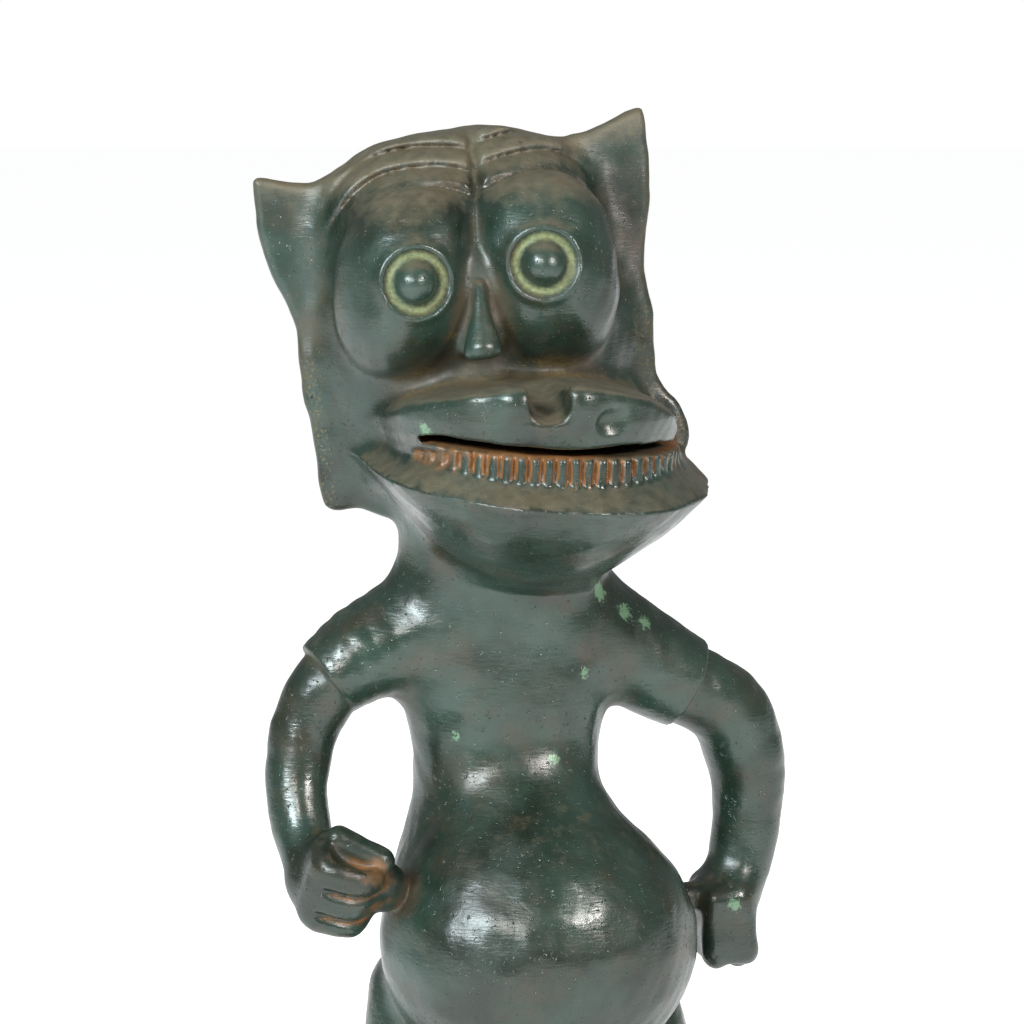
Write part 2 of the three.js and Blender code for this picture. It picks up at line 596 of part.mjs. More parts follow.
// Merges the ends of edges, least change of shape first, until only so many triangles are left
function simplify({ points, faces }, wanted) {
  const corners = points.map((point) => ({ point, error: new Array(10).fill(0), faces: new Set(), stamp: 0 }));
  const triangle = new THREE.Triangle();
  const plane = new THREE.Plane();
  let left = 0;

  for (const ids of faces) {
    const face = { corners: ids.map((id) => corners[id]) };
    triangle.set(...face.corners.map((corner) => corner.point));
    triangle.getPlane(plane);
    const error = planeError(plane, triangle.getArea());
    for (const corner of face.corners) {
      corner.faces.add(face);
      corner.error = corner.error.map((value, i) => value + error[i]);
    }
    left += 1;
  }

  const neighbours = (corner) => {
    const found = new Set([...corner.faces].flatMap((face) => face.corners));
    found.delete(corner);
    return found;
  };
  const queue = new CheapestFirst();
  const offer = (a, b) => {
    const error = a.error.map((value, i) => value + b.error[i]);
    const point = bestPoint(error, a.point, b.point);
    const cost = errorAt(error, point) + 1e-4 * a.point.distanceToSquared(b.point);
    queue.push({ cost, a, b, point, error, stamp: a.stamp + b.stamp });
  };
  const flips = (corner, other, point) => [...corner.faces].some((face) => {
    if (face.corners.includes(other)) return false;
    const normal = triangle.set(...face.corners.map((c) => c.point)).getNormal(new THREE.Vector3());
    triangle.set(...face.corners.map((c) => (c === corner ? point : c.point)));
    return triangle.getArea() < 1e-3 || triangle.getNormal(new THREE.Vector3()).dot(normal) < 0.3;
  });

  const seen = new Set();
  for (const corner of corners) {
    seen.add(corner);
    neighbours(corner).forEach((next) => seen.has(next) || offer(corner, next));
  }

  while (left > wanted && queue.entries.length) {
    const { a, b, point, error, stamp } = queue.pop();
    if (a.gone || b.gone || stamp !== a.stamp + b.stamp) continue;
    const near = neighbours(b);
    const shared = [...neighbours(a)].filter((corner) => near.has(corner));
    if (shared.length !== 2 || flips(a, b, point) || flips(b, a, point)) continue;
    for (const face of b.faces) {
      if (face.corners.includes(a)) {
        face.corners.forEach((corner) => corner.faces.delete(face));
        left -= 1;
      } else {
        face.corners = face.corners.map((corner) => (corner === b ? a : corner));
        a.faces.add(face);
      }
    }
    Object.assign(b, { gone: true });
    Object.assign(a, { point, error, stamp: a.stamp + 1 });
    neighbours(a).forEach((next) => offer(a, next));
  }
  return corners.filter((corner) => !corner.gone);
}

function toGeometry(corners) {
  const order = new Map(corners.map((corner, i) => [corner, i]));
  const faces = new Set(corners.flatMap((corner) => [...corner.faces]));
  for (const { point } of corners) {
    if (Math.abs(point.z) < 0.05) point.z = 0;
  }
  const geometry = new THREE.BufferGeometry().setFromPoints(corners.map((corner) => corner.point));
  geometry.setIndex([...faces].flatMap((face) => face.corners.map((corner) => order.get(corner))));
  geometry.computeVertexNormals();
  return geometry;
}

const bronze = new THREE.MeshStandardMaterial({ color: 0x2c3832, roughness: 0.42, metalness: 0.85 });
const distances = sample(figure());
fillPinches(distances);
const shape = toGeometry(simplify(skin(distances), SKIN.triangles));
const ancestorFigure = new THREE.Mesh(shape, bronze);
ancestorFigure.name = 'ancestor_figure';

const group = new THREE.Group();
group.add(ancestorFigure);

export default group;
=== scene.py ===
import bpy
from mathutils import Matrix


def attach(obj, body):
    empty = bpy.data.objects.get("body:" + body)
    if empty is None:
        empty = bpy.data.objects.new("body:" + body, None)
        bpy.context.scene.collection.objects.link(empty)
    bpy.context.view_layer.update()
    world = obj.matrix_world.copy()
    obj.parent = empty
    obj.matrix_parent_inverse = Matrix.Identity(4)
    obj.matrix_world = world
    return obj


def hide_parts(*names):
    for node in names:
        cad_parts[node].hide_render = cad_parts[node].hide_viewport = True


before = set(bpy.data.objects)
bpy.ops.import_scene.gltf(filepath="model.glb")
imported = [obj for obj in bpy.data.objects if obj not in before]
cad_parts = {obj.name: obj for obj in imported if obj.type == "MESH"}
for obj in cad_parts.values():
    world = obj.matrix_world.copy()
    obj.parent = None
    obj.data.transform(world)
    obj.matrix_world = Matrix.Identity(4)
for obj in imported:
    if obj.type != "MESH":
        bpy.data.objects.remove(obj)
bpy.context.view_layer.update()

# Ancestor figure: a small bronze cast with its plinth, in a dark, dusty patina.
#
# The skin is drawn from distance functions of the same forms as the solid, on a finer grid, with some
# sizes corrected and the finer relief added. They work in millimetres in the frame of the solid: +Z up,
# the figure faces -Y, and its right hand is on the -X side. Each function returns the distance from a
# surface, negative inside.
import math
import bpy
import numpy as np
from mathutils import Vector

MM = 0.001

# Driving sizes of the body

PLINTH = {"width": 128, "depth": 100, "back": 4, "height": 13, "edge": 2.5, "squareness": 3.2}

# The trunk without its belly, level by level from the crotch to the root of the jaw:
# height, middle of the width, half width, depth in front of and behind the widest line
TRUNK = (
    (84, 1, 32, 20, 26),  # crotch
    (96, 1, 36, 24, 33),
    (110, 1, 36, 32, 36),  # seat
    (130, -2, 35, 42, 34),
    (150, -6, 33.5, 44, 29),
    (165, -6.2, 31.3, 38, 27),  # waist
    (180, -5.6, 30.2, 31.5, 25.5),
    (194, -5.4, 31.2, 26.5, 25),  # chest
    (208, -6.5, 34.5, 27.5, 25),
    (226, -7.5, 37, 27, 26),  # shoulders
    (256, -8, 33, 31, 27),  # neck
    (275, -8, 33, 34, 30),
)
BELLY = {"at": (-0.7, -23, 129.5), "radii": (51.5, 45, 45), "blend": 18}

# Stations along the limbs: x, y, z, radius
THIGH = ((33, 4, 107, 19.5), (44, -12, 62, 16))
SHIN = ((44, -12, 62, 16), (41, -5, 42, 14), (37, 0, 22, 10.5))
FOOT = {
    "at": (37, -12, 15), "radii": (12.5, 26, 9.5),
    "toes": 5, "toe_pitch": 4.8, "toe_radii": (3, 5.5, 3.4),
}
SLEEVE_LEFT = (
    (-14, 2, 232, 19), (-34, 1, 229, 18.5), (-52, 0, 223, 16), (-65, 0, 215, 13.6), (-75, 0, 207, 12),
)
SLEEVE_RIGHT = (
    (0, 2, 238, 18), (18, 1, 229.5, 19), (38, 0, 218, 17.3), (56, 0, 207.5, 15.4), (70, 0, 200, 14),
)
CUFF_LEFT = {"at": (-65, 0, 214.8), "outward": (-0.8, 0, -0.6)}
CUFF_RIGHT = {"at": (55, 0, 206), "outward": (0.89, 0, -0.456)}
ARM_LEFT = (
    (-58, 0, 219, 12), (-66, 0, 212, 12), (-72.8, 1, 199, 11.3),
    (-76, -3, 183.5, 9.8), (-76.4, -10, 169, 9.3), (-75, -20, 157, 9.4),
)
ARM_RIGHT = (
    (48, 0, 210, 13), (62, 1, 204.5, 13.5), (73.5, 3, 195.5, 14), (79.4, 4, 180, 13.4),
    (80.2, 4, 165, 12), (77.6, 2, 148.5, 10.8), (74.2, 0, 138, 9.8),
)
FIST = {
    "half_width": 12.4, "half_depth": 11.5, "half_height": 14, "edge": 7,
    "grooves": (4, -5.5), "groove": 2.6, "reach": 32,
    "touch": {"from": (3, 3, 0), "to": (14, 6, 0), "radius": 8},
}
HIP_HAND = {
    "half": (10, 13, 14), "edge": 5.5, "taper": 0.05, "grooves": (-6.5, 0.5, 7.5), "groove": 1.6, "reach": 28,
    "fingertips": ((-4.5, -6, -11.2), (3.5, -3, -11.5)), "fingertip": 4.4,
}

# Driving sizes of the head and muzzle, each in its own turned frame

HEAD_SQUARENESS = 3
HEAD_REACH = 90
SKULL = {"at": (0, 8, 10), "radii": (45, 42, 46)}
FACE = {"at": (0, 6, -26), "radii": (48, 38, 44)}
BULGE_SQUARENESS = 2.5
BULGES = (
    {"side": -1, "at": (-20.8, -22, 11.5), "radii": (22.3, 27, 29.3), "lean": 0.16, "eye": (-19.3, 13.2)},
    {"side": 1, "at": (23, -22, 9), "radii": (23.2, 27, 31), "lean": 0, "eye": (20.5, 12.9)},
)
EYE = {
    "rim": 11.2, "rim_height": 1.5, "rim_width": 1.6, "ring": 8.5, "ring_depth": 1.5, "ring_width": 2.1,
    "pupil": 6.3, "pupil_height": 3.5,
}
BROW = {"folds": 3, "pitch": 0.2, "height": 2.5, "swell": 0.8, "inner": 0.7, "squareness": 2.3}
CLEFT = {"foot": (0.8, 12), "lean": 0.165, "top": 55, "depth": 1.6, "width": 1.7}
NOSE = {
    "top": (0.2, -41.5, 8), "tip": (-2.4, -47.5, -10), "top_radius": 1.8, "tip_radius": 6, "underside": -13,
    "root": {"from": (0.5, -31, 12), "to": (-2, -34, -9), "radius": 8},
}
EAR = {"middle": 5, "half_thickness": 3.4}
EAR_ROOT = ((36, -57.5), (28, -30), (28, 20), (33, 41))
# The ears' outlines, from the top of the head round the tip and down to the lobe
EAR_LEFT = (
    (40, 44), (50, 47), (60.6, 50), (62.9, 46), (63.2, 30), (60.1, 14.5), (57, 4), (56.8, -6), (57.6, -19),
    (56.1, -34), (56.6, -54), (55, -58.9), (51, -60.2), (44, -58.6),
)
EAR_RIGHT = (
    (41.5, 47.2), (52, 50), (63, 53.6), (65.4, 51), (65.4, 41), (63.9, 25), (60.2, 9), (59.1, 0), (59.2, -13),
    (57.6, -29), (59.6, -37), (63.6, -43.4), (65.2, -52), (62, -59.5), (50, -59),
)

MUZZLE = {"corner": -2, "squareness": 2.3, "reach": 90}
# The jaw's bowl and the shelf over its rim: height over the rim, half width, depth in front
JAW_BOWL = (
    (-40, 15, 14), (-35, 23, 31), (-30, 27.5, 42), (-25, 32, 52), (-19, 38, 62), (-12, 45, 71), (0, 56, 80.5),
)
JAW_SHELF = ((0, 56, 80.5), (2.5, 53, 77), (8.5, 47, 69), (20, 45, 67))
JAW = {"rim": -5.9, "back": 24, "bottom": -39, "top": 13}
TEETH = {"count": 35, "half_width": 46.5, "front": 71.9, "middle": 1.2, "half_height": 4.8, "gap": 2.6}
LIP = {
    "half_width": 45.5, "swell": 4.5, "front": 69.5, "front_swell": 5, "back": 26,
    "top": 24.6, "top_half": 48, "top_shift": -3, "bottom": 5, "corner_drop": 12,
}
NOTCH = {"from": (-1.8, -82, 19), "to": (-4, -30, 36), "radius": 5.4, "back_radius": 11}
CURLS = (
    {"at": (-12, -71.5, 20), "radii": (6, 5, 5)},
    {"at": (7.5, -71.5, 20), "radii": (4.6, 6, 5.5)},
)
SCOOP = {"at": (18.5, -74.5, 14.5), "radii": (6.5, 4, 5)}
MOUTH = {"half_width": 46, "reach": 90, "bottom": 5.4, "gap": 2.8, "wide_at": 22, "widening": 1.8}
THROAT = {"at": (3, -28, 8), "radii": (37, 36, 9)}

# Hand-modelled unevenness: wavelength and height of the waves
UNEVEN = ((34, 0.35), (13, 0.16), (6, 0.06))

# The skin: spacing of the samples, the box they fill, and how many triangles are kept
SPACING = 0.8
LOW, HIGH = (-100, -98, -4), (106, 64, 406)
BLOCK = 8
TRIANGLES = 195_000


# Frames: the head turns and leans to the figure's right, the muzzle stays nearly level

class Frame:
    def __init__(self, origin, yaw=0.0, roll=0.0, pitch=0.0):
        y, r, p = (math.radians(angle) for angle in (yaw, roll, pitch))
        about_z = np.array([[math.cos(y), -math.sin(y), 0], [math.sin(y), math.cos(y), 0], [0, 0, 1]])
        about_y = np.array([[math.cos(r), 0, -math.sin(r)], [0, 1, 0], [math.sin(r), 0, math.cos(r)]])
        about_x = np.array([[1, 0, 0], [0, math.cos(p), -math.sin(p)], [0, math.sin(p), math.cos(p)]])
        self.axes = (about_z @ about_y @ about_x).astype(np.float32)
        self.origin = np.array(origin, np.float32)[:, None]

    def local(self, p):
        return self.axes.T @ (p - self.origin)


HEAD_FRAME = Frame((-17, 2, 335), yaw=-9.5, roll=8.5)
LIP_FRAME = Frame((-1.5, -5, 290), yaw=-8)
TEETH_FRAME = Frame((0.5, -5, 290), yaw=-8, roll=-3.5, pitch=1.5)
JAW_FRAME = Frame((1.2, -5, 290), yaw=-8, roll=-4, pitch=4)
FIST_FRAME = Frame((-68.5, -31, 154), yaw=-6, roll=-17, pitch=24)
HIP_HAND_FRAME = Frame((69.4, -2, 126.5), yaw=-6, roll=5)


# Joining: softness is the width over which two surfaces flow together. Surfaces further apart than
# CLEAR never do, except the belly and the trunk.

CLEAR = 12


def soft_min(a, b, softness):
    return np.minimum(a, b) - np.maximum(softness - np.abs(a - b), 0) ** 2 / (4 * softness)


def soft_max(a, b, softness):
    return -soft_min(-a, -b, softness)


def clamp01(value):
    return np.clip(value, 0, 1)


def bump(value, width):
    return np.exp(-((value / width) ** 2))


def blend(softness, *parts):
    def distance(p):
        result = parts[0](p)
        for part in parts[1:]:
            result = soft_min(result, part(p), softness)
        return result
    return distance


def carve(softness, body, tool):
    return lambda p: soft_max(body(p), -tool(p), softness)


def only_near(away, p, part):
    """Works the part out where it is near, and elsewhere says how far away it is."""
    near = away < CLEAR
    if near.any():
        away[near] = part(p[:, near])
    return away


def placed(place, reach, part):
    def distance(p):
        local = place.local(p)
        return only_near(np.linalg.norm(local, axis=0) - reach, local, part)
    return distance


# Shapes

def column(values):
    return np.array(values, np.float32)[:, None]


def ball(at, radii):
    def distance(p):
        offset = (p - column(at)) / column(radii)
        scaled = np.linalg.norm(offset, axis=0)
        return scaled * (scaled - 1) / np.maximum(np.linalg.norm(offset / column(radii), axis=0), 1e-6)
    return distance


def squared_ball(at, radii, squareness):
    """A ball whose front outline fills its corners as squareness rises over 2."""
    def distance(p):
        u, v, w = np.abs((p - column(at)) / column(radii))
        total = u ** squareness + w ** squareness
        scaled = np.sqrt(total ** (2 / squareness) + v * v)
        slope = np.maximum(total, 1e-9) ** (2 / squareness - 1)
        across = slope * u ** (squareness - 1) / radii[0]
        up = slope * w ** (squareness - 1) / radii[2]
        steepness = np.sqrt(across ** 2 + (v / radii[1]) ** 2 + up ** 2)
        return scaled * (scaled - 1) / np.maximum(steepness, 1e-6)
    return distance


def oval_distance(x, y, half, front, back, squareness=2.0):
    """Distance in a level section from an oval with its own depth in front (-Y) and behind."""
    depth = np.where(y < 0, front, back)
    u, v = np.abs(x) / half, np.abs(y) / depth
    total = np.maximum(u ** squareness + v ** squareness, 1e-9)
    steepness = np.hypot(u ** (squareness - 1) / half, v ** (squareness - 1) / depth)
    slope = steepness * total ** (1 / squareness - 1)
    return (total ** (1 / squareness) - 1) / np.maximum(slope, 1e-6)


def rod(start, end, start_radius, end_radius):
    start, axis = column(start), column(end) - column(start)

    def distance(p):
        along = clamp01((axis * (p - start)).sum(0) / (axis ** 2).sum())
        radius = start_radius + (end_radius - start_radius) * along
        return np.linalg.norm(p - start - along * axis, axis=0) - radius
    return distance


def smooth_line(points, steps):
    """Points of a Catmull-Rom curve through rows of numbers."""
    rows = np.array(points, float)
    rows = np.vstack([2 * rows[0] - rows[1], rows, 2 * rows[-1] - rows[-2]])
    line = []
    for before, start, end, after in zip(rows, rows[1:], rows[2:], rows[3:]):
        for t in np.arange(steps) / steps:
            line.append(0.5 * (
                2 * start + (end - before) * t + (2 * before - 5 * start + 4 * end - after) * t ** 2
                + (after - before + 3 * (start - end)) * t ** 3))
    return np.array(line + [rows[-2]])


def limb(stations, steps=3):
    """A limb of changing radius through stations of x, y, z and radius."""
    line = smooth_line(stations, steps)
    rods = [rod(a[:3], b[:3], a[3], b[3]) for a, b in zip(line, line[1:])]
    low = column(line[:, :3].min(0) - line[:, 3].max())
    high = column(line[:, :3].max(0) + line[:, 3].max())

    def nearest(p):
        return np.minimum.reduce([part(p) for part in rods])

    def distance(p):
        away = np.linalg.norm(np.maximum(np.maximum(low - p, p - high), 0), axis=0)
        return only_near(away, p, nearest)
    return distance


def profile(rows):
    """Reads rows of numbers as smooth curves over their first column."""
    rows = np.array(rows, np.float32)
    levels = rows[:, 0]
    slopes = np.array([np.gradient(values, levels) for values in rows.T], np.float32).T

    def read(height):
        at = np.clip(height, levels[0], levels[-1])
        i = np.clip(np.searchsorted(levels, at, side="right") - 1, 0, len(levels) - 2)
        gap = levels[i + 1] - levels[i]
        t = (at - levels[i]) / gap
        eased = t * t * (3 - 2 * t)
        return [
            rows[i, c] * (1 - eased) + rows[i + 1, c] * eased
            + gap * t * (1 - t) * ((1 - t) * slopes[i, c] - t * slopes[i + 1, c])
            for c in range(1, rows.shape[1])
        ]
    return read


def between(low, high, value):
    return np.abs(value - (low + high) / 2) - (high - low) / 2


# Plinth, legs and feet

def plinth(p):
    x, y, z = p
    half_width, half_depth = PLINTH["width"] / 2, PLINTH["depth"] / 2
    outline = oval_distance(x, y + PLINTH["back"], half_width, half_depth, half_depth, PLINTH["squareness"])
    slab = between(0, PLINTH["height"], z)
    return np.maximum(soft_max(outline, slab, PLINTH["edge"]), -z)


def leg(side):
    def place(station):
        return (side * station[0] + 1, *station[1:])

    toes = []
    for i in range(FOOT["toes"]):
        across = i - (FOOT["toes"] - 1) / 2
        x = side * (FOOT["at"][0] + across * FOOT["toe_pitch"]) + 1
        toes.append(ball((x, -35 + abs(across + 1) * 1.6, 13.5), FOOT["toe_radii"]))
    limbs = blend(5, limb([place(s) for s in THIGH]), limb([place(s) for s in SHIN]))
    return blend(1.2, blend(6, limbs, ball(place(FOOT["at"]), FOOT["radii"])), *toes)


# Trunk, sleeves, arms and hands

def trunk():
    levels = profile(TRUNK)

    def core(p):
        x, y, z = p
        middle, half, front, back = levels(z)
        return soft_max(oval_distance(x - middle, y, half, front, back), between(83, 273, z), 12)
    return blend(BELLY["blend"], core, ball(BELLY["at"], BELLY["radii"]))


def sleeve(stations, cuff):
    body = limb(stations)
    outward = column(cuff["outward"])
    return lambda p: soft_max(body(p), (outward * (p - column(cuff["at"]))).sum(0), 0.8)


def fist():
    """Closed round nothing: three finger rolls that touch the belly, a hole down its top and the thumb
    across it."""
    half_depth, half_height = FIST["half_depth"], FIST["half_height"]
    touch = FIST["touch"]

    def barrel(p):
        x, y, z = p
        side = oval_distance(x, y, FIST["half_width"], half_depth, half_depth, 2.4)
        fingers = sum(bump(z - groove, 1.5) for groove in FIST["grooves"])
        fade = clamp01((x + 9) / 5) * clamp01((6 - y) / 5)
        return soft_max(side, np.abs(z) - half_height, FIST["edge"]) + FIST["groove"] * fingers * fade

    heel = rod((-5, 8, 6), (-8, 6, -7), 7.5, 6.5)
    fingertips = rod(touch["from"], touch["to"], touch["radius"], touch["radius"])
    hole = ball((-0.5, -1.5, 15), (8.2, 6.2, 5))
    thumb = rod((-5, 6.6, 13), (9.5, 2.5, 11.6), 4.4, 4.8)
    closed = carve(1.6, blend(5, barrel, heel, fingertips), hole)
    return placed(FIST_FRAME, FIST["reach"], blend(1, closed, thumb))


def hip_hand():
    """A flat hand on the hip, fingers down, with the thumb reaching to the belly."""
    half, edge = HIP_HAND["half"], HIP_HAND["edge"]

    def palm(p):
        x, y, z = p
        sides = np.abs(p) - column(half) + edge
        sides[0] += HIP_HAND["taper"] * (z + half[2])
        block = np.linalg.norm(np.maximum(sides, 0), axis=0) + np.minimum(sides.max(0), 0) - edge
        fingers = sum(bump(y - groove, 1.3) for groove in HIP_HAND["grooves"])
        return block + HIP_HAND["groove"] * fingers * clamp01((x + 3) / 4) * clamp01((2 - z) / 5)
    fingertips = [ball(tip, [HIP_HAND["fingertip"]] * 3) for tip in HIP_HAND["fingertips"]]
    thumb = rod((-3, -3, 9.5), (-15, -4, 10.5), 5, 4.6)
    return placed(HIP_HAND_FRAME, HIP_HAND["reach"], blend(3, blend(2, palm, *fingertips), thumb))


# Head

def middle_line(z):
    """How far across the middle of the face is: it leans a little against the head."""
    return CLEFT["foot"][0] + CLEFT["lean"] * (z - CLEFT["foot"][1])


def from_bulge(bulge, p):
    """Steps across and up from an eye bulge's middle, in parts of its size."""
    rise = p[2] - bulge["at"][2]
    return (p[0] - bulge["lean"] * rise - bulge["at"][0]) / bulge["radii"][0], rise / bulge["radii"][2]


def brow_fold(bulge, p):
    """Stepped rolls of skin over one eye bulge, each steep below and sloping back above."""
    across, up = from_bulge(bulge, p)
    across = np.abs(across) * np.where(across * bulge["side"] < 0, BROW["inner"], 1)
    squareness = BROW["squareness"]
    radius = np.maximum((across ** squareness + np.abs(up) ** squareness) ** (1 / squareness), 1e-3)
    fold = np.clip((radius - 1) / BROW["pitch"], 0, BROW["folds"])
    return np.sin(np.pi * (fold % 1) ** BROW["swell"]) * clamp01((up / radius - 0.45) / 0.3)


def brow_folds(p):
    left, right = (brow_fold(bulge, p) for bulge in BULGES)
    off_middle = p[0] - middle_line(p[2])
    height = np.where(off_middle < 0, left, right) * (1 - 0.8 * bump(off_middle, 2.5))
    cleft = bump(off_middle, CLEFT["width"]) * clamp01((p[2] - 20) / 8) * clamp01((CLEFT["top"] - p[2]) / 6)
    return (BROW["height"] * height - CLEFT["depth"] * cleft) * clamp01(-p[1] / 8)


def skull():
    mass = blend(
        14, squared_ball(SKULL["at"], SKULL["radii"], HEAD_SQUARENESS),
        squared_ball(FACE["at"], FACE["radii"], HEAD_SQUARENESS))
    return lambda p: mass(p) - brow_folds(p)


def outline_distance(outline, x, z):
    nearest = np.full_like(x, np.inf)
    inside = np.zeros(x.shape, bool)
    for (ax, az), (bx, bz) in zip(outline, outline[-1:] + outline[:-1]):
        edge_x, edge_z = bx - ax, bz - az
        t = clamp01(((x - ax) * edge_x + (z - az) * edge_z) / (edge_x ** 2 + edge_z ** 2))
        nearest = np.minimum(nearest, np.hypot(x - ax - edge_x * t, z - az - edge_z * t))
        if az != bz:
            inside ^= ((az > z) != (bz > z)) & (x < ax + edge_x * (z - az) / edge_z)
    return np.where(inside, -nearest, nearest)


def ears():
    """Tall flaps with a pointed tip, a wavy edge and a square lobe."""
    left, right = (
        [tuple(point) for point in smooth_line(outline + EAR_ROOT, 3)] for outline in (EAR_LEFT, EAR_RIGHT))

    def distance(p):
        x, y, z = p
        plate = np.minimum(outline_distance(left, -x, z), outline_distance(right, x, z))
        return soft_max(plate, np.abs(y - EAR["middle"]) - EAR["half_thickness"], 3)
    return distance


def eye(bulge):
    """An egg-shaped bulge with a raised rim, a sunken ring and a domed pupil."""
    egg = squared_ball(bulge["at"], bulge["radii"], BULGE_SQUARENESS)
    eye_x, eye_z = bulge["eye"]

    def distance(p):
        x, y, z = p
        radius = np.hypot(x - eye_x, z - eye_z)
        dome = EYE["pupil_height"] * np.sqrt(np.maximum(1 - (radius / EYE["pupil"]) ** 2, 0))
        rim = EYE["rim_height"] * bump(radius - EYE["rim"], EYE["rim_width"])
        ring = EYE["ring_depth"] * bump(radius - EYE["ring"], EYE["ring_width"])
        upright = np.stack([x - bulge["lean"] * (z - bulge["at"][2]), y, z])
        return egg(upright) - (rim - ring + dome) * (y < -30)
    return distance


def nose():
    root = NOSE["root"]
    bridge = rod(root["from"], root["to"], root["radius"], root["radius"])
    wedge = blend(4, rod(NOSE["top"], NOSE["tip"], NOSE["top_radius"], NOSE["tip_radius"]), bridge)
    return lambda p: soft_max(wedge(p), NOSE["underside"] - p[2], 1.2)


def head():
    eyes = blend(1.2, *[eye(bulge) for bulge in BULGES])
    return placed(HEAD_FRAME, HEAD_REACH, blend(3, blend(4, blend(12, skull(), ears()), eyes), nose()))


# Muzzle

def jaw():
    bowl, shelf = profile(JAW_BOWL), profile(JAW_SHELF)

    def distance(p):
        x, y, z = p
        level = z - JAW["rim"]
        half, front = (np.where(level < 0, *pair) for pair in zip(bowl(level), shelf(level)))
        side = oval_distance(x, y - MUZZLE["corner"], half, front, JAW["back"], MUZZLE["squareness"])
        return soft_max(side * 0.72, between(JAW["bottom"], JAW["top"], level), 2)
    return placed(JAW_FRAME, MUZZLE["reach"], distance)


def teeth():
    """One row of small upright teeth round the front of the mouth."""
    half_width, front = TEETH["half_width"], TEETH["front"]

    def distance(p):
        x, y, z = p
        forward = y - MUZZLE["corner"]
        side = oval_distance(x, forward, half_width, front, 20, MUZZLE["squareness"])
        turn = np.arctan2(x / half_width, -forward / front) / np.pi * TEETH["count"] + 0.5
        from_tooth = np.abs(turn % 1 - 0.5) * 2
        gaps = TEETH["gap"] * clamp01((from_tooth - 0.5) / 0.4)
        row = soft_max(side + gaps, np.abs(z - TEETH["middle"]) - TEETH["half_height"], 1.6)
        return soft_max(row, y + 6, 1)
    return placed(TEETH_FRAME, MUZZLE["reach"], distance)


def lip(p):
    """A thick band, arched on top and hanging down at both corners of the mouth."""
    x, y, z = p
    rise = clamp01((z - 2) / 12)
    half_width = LIP["half_width"] + LIP["swell"] * rise
    front = LIP["front"] + LIP["front_swell"] * rise
    side = oval_distance(x, y - MUZZLE["corner"], half_width, front, LIP["back"], MUZZLE["squareness"])
    across = np.abs(x - LIP["top_shift"]) / LIP["top_half"]
    over = z - (LIP["top"] - 8.4 * across ** 2 - 8.8 * across ** 8)
    under = LIP["bottom"] - LIP["corner_drop"] * clamp01((np.abs(x) - 38) / 7) ** 2 - z
    return soft_max(soft_max(side, over * 0.85, 2.4), under * 0.8, 1.6)


def upper_lip():
    curls = [ball(curl["at"], curl["radii"]) for curl in CURLS]
    notch = rod(NOTCH["from"], NOTCH["to"], NOTCH["radius"], NOTCH["back_radius"])
    scoop = ball(SCOOP["at"], SCOOP["radii"])
    return placed(LIP_FRAME, MUZZLE["reach"], carve(2, carve(2, blend(3, lip, *curls), notch), scoop))


def mouth():
    """The open mouth: a narrow slit, wider at the figure's left, and a hollow behind it."""
    def slit(p):
        x, y, z = p
        height = MOUTH["gap"] + 1.3 * (x / 30) ** 2 + MOUTH["widening"] * bump(x - MOUTH["wide_at"], 14)
        top = MOUTH["bottom"] + height * clamp01(1 - np.abs(x / MOUTH["half_width"]) ** 5)
        forward = y - MUZZLE["corner"]
        plan = oval_distance(x, forward, MOUTH["half_width"], MOUTH["reach"], 20, MUZZLE["squareness"])
        return soft_max(plan, np.maximum(z - top, MOUTH["bottom"] - z), 1)
    return placed(TEETH_FRAME, MUZZLE["reach"], blend(2, slit, ball(THROAT["at"], THROAT["radii"])))


def uneven(p):
    """Slow waves in many directions: the unevenness of wax worked by hand."""
    draw = np.random.default_rng(5)
    height = np.zeros(p.shape[1], np.float32)
    for wavelength, size in UNEVEN:
        for _ in range(7):
            direction = draw.normal(size=3)
            direction *= 2 * np.pi / wavelength / np.linalg.norm(direction)
            height += size / 2.6 * np.sin(direction.astype(np.float32) @ p + draw.uniform(0, 2 * np.pi))
    return height


def figure():
    lower = blend(3, blend(5, trunk(), leg(-1), leg(1)), plinth)
    shoulders = blend(9, lower, sleeve(SLEEVE_LEFT, CUFF_LEFT), sleeve(SLEEVE_RIGHT, CUFF_RIGHT))
    arms = blend(4, limb(ARM_LEFT), fist()), blend(8, limb(ARM_RIGHT), hip_hand())
    muzzle = blend(4, jaw(), upper_lip())
    whole = blend(6, blend(1.2, shoulders, *arms), blend(5, head(), muzzle))
    return blend(0.8, carve(1, whole, mouth()), teeth())


def worked_figure():
    """The figure with its unevenness, which stops short of the flat underside."""
    form = figure()
    return lambda p: form(p) + uneven(p) * clamp01((p[2] - 1) / 6)


# The skin

def block_points(cells):
    """Sample points of whole blocks, given each block's lowest cell."""
    steps = np.stack(np.meshgrid(*[np.arange(BLOCK + 1)] * 3, indexing="ij")).reshape(3, 1, -1)
    index = (cells.T[:, :, None] + steps).reshape(3, -1)
    return index, (column(LOW) + index * np.float32(SPACING)).astype(np.float32)


